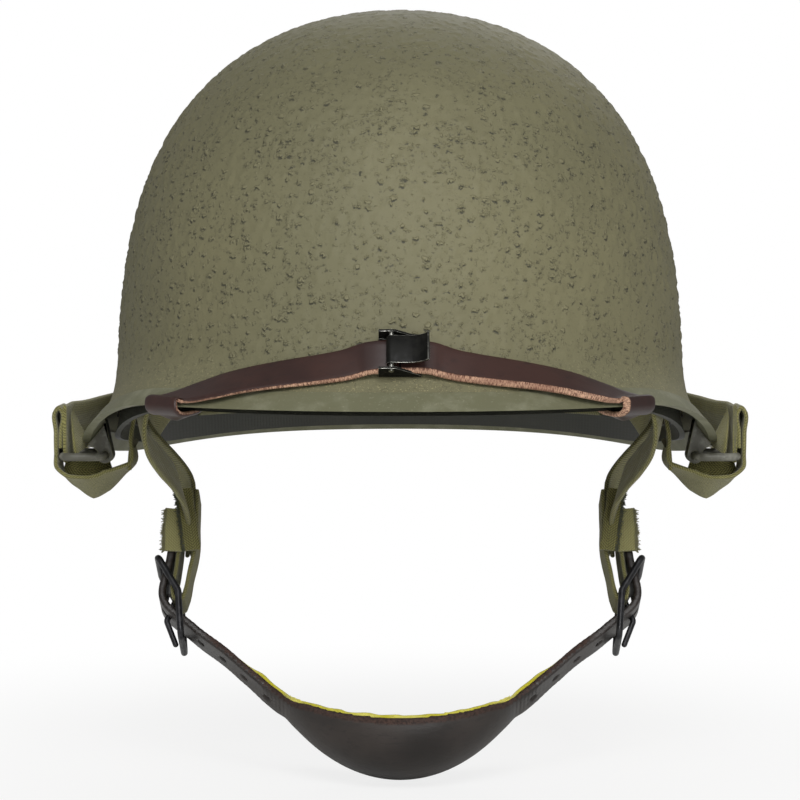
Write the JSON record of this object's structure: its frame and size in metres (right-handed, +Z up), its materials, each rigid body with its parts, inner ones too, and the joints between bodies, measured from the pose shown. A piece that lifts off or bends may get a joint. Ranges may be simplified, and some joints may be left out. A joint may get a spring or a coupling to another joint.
{
  "type": "steel pot helmet",
  "caption": "Steel pot helmet: flared steel shell over a fibre liner with web suspension, yokes, wire bails and a padded leather chin cup.",
  "frame": {"origin": "centre of the head opening at the lower edge of the sweatband", "axes": "+Z up to the crown, -Y towards the visor, +X to the right as seen from the front"},
  "size_m": [0.2642, 0.2846, 0.2923],
  "materials": {
    "shell_paint": "matt olive drab paint with coarse cork grit, smooth near the rim",
    "liner_board": "resin-bonded cotton board, painted olive drab",
    "blackened_wire": "blackened steel wire, rubbed on the bends",
    "painted_steel": "dark painted steel, worn at the edges",
    "blackened_brass": "blackened brass",
    "cotton_webbing": "olive drab herringbone cotton webbing",
    "sweatband_leather": "smooth brown leather",
    "strap_leather": "dark brown leather with a raw suede edge",
    "cup_leather": "near-black smooth leather with a soft sheen",
    "chamois": "yellow chamois lining"
  },
  "bodies": {
    "liner": {"liner_shell": "liner_board", "suspension_band_1": "cotton_webbing", "suspension_band_2": "cotton_webbing", "suspension_band_3": "cotton_webbing", "suspension_rivets": "blackened_brass", "suspension_washers": "blackened_brass", "head_ring": "cotton_webbing", "sweatband": "sweatband_leather", "sweatband_clips": "painted_steel", "nape_strap": "cotton_webbing", "nape_snaps": "blackened_brass", "left_yoke_front_leg": "cotton_webbing", "left_yoke_rear_leg": "cotton_webbing", "right_yoke_front_leg": "cotton_webbing", "right_yoke_rear_leg": "cotton_webbing", "yoke_rivets": "blackened_brass", "left_buckle_loop": "cotton_webbing", "right_buckle_loop": "cotton_webbing", "snap_sockets": "blackened_brass", "garter_studs": "blackened_brass"},
    "steel_shell": {"steel_shell": "shell_paint", "rim_edging": "shell_paint", "left_bail_lug": "blackened_wire", "right_bail_lug": "blackened_wire", "left_web_chinstrap": "cotton_webbing", "right_web_chinstrap": "cotton_webbing", "rear_hook": "painted_steel", "rear_slider": "painted_steel", "left_liner_chinstrap": "strap_leather", "right_liner_chinstrap": "strap_leather", "clip_frame": "painted_steel", "clip_lever_pin": "painted_steel", "strap_end_clips": "painted_steel", "left_snap_tab": "cotton_webbing", "right_snap_tab": "cotton_webbing", "left_snap_stud": "blackened_brass", "right_snap_stud": "blackened_brass"},
    "left_bail": {"left_bail": "blackened_wire"},
    "right_bail": {"right_bail": "blackened_wire"},
    "clip_lever": {"clip_lever": "painted_steel"},
    "chin_cup": {"chin_cup": "cup_leather", "chin_cup_lining": "chamois", "left_buckle_frame": "blackened_wire", "right_buckle_frame": "blackened_wire"},
    "left_prong": {"left_prong": "blackened_wire"},
    "right_prong": {"right_prong": "blackened_wire"}
  },
  "joints": [
    {"name": "shell_lift", "type": "slide", "parent": "liner", "child": "steel_shell", "axis": [0, 0, 1], "range_m": [0, 0.2], "deforming": ["left_liner_chinstrap", "right_liner_chinstrap", "left_snap_tab", "right_snap_tab", "strap_end_clips", "left_snap_stud", "right_snap_stud"]},
    {"name": "left_bail_swing", "type": "hinge", "parent": "steel_shell", "child": "left_bail", "pos_m": [-0.113, -0.012, -0.0234], "axis": [0, 1, 0], "range_deg": [-100, 5], "deforming": ["left_web_chinstrap"]},
    {"name": "right_bail_swing", "type": "hinge", "parent": "steel_shell", "child": "right_bail", "pos_m": [0.113, -0.012, -0.0234], "axis": [0, -1, 0], "range_deg": [-100, 5], "deforming": ["right_web_chinstrap"]},
    {"name": "clip_lever_turn", "type": "hinge", "parent": "steel_shell", "child": "clip_lever", "pos_m": [-0.003, -0.12767, 0.02078], "axis": [0, -0.4748, -0.8801], "range_deg": [0, 100]},
    {"name": "chin_cup_swing", "type": "hinge", "parent": "liner", "child": "chin_cup", "pos_m": [0, -0.01, -0.08], "axis": [1, 0, 0], "range_deg": [-20, 20], "deforming": ["left_buckle_loop", "right_buckle_loop"]},
    {"name": "left_prong_turn", "type": "hinge", "parent": "chin_cup", "child": "left_prong", "pos_m": [-0.085, -0.01, -0.08], "axis": [0, 0.891, -0.454], "range_deg": [0, 25]},
    {"name": "right_prong_turn", "type": "hinge", "parent": "chin_cup", "child": "right_prong", "pos_m": [0.085, -0.01, -0.08], "axis": [0, -0.891, 0.454], "range_deg": [0, 25]}
  ]
}
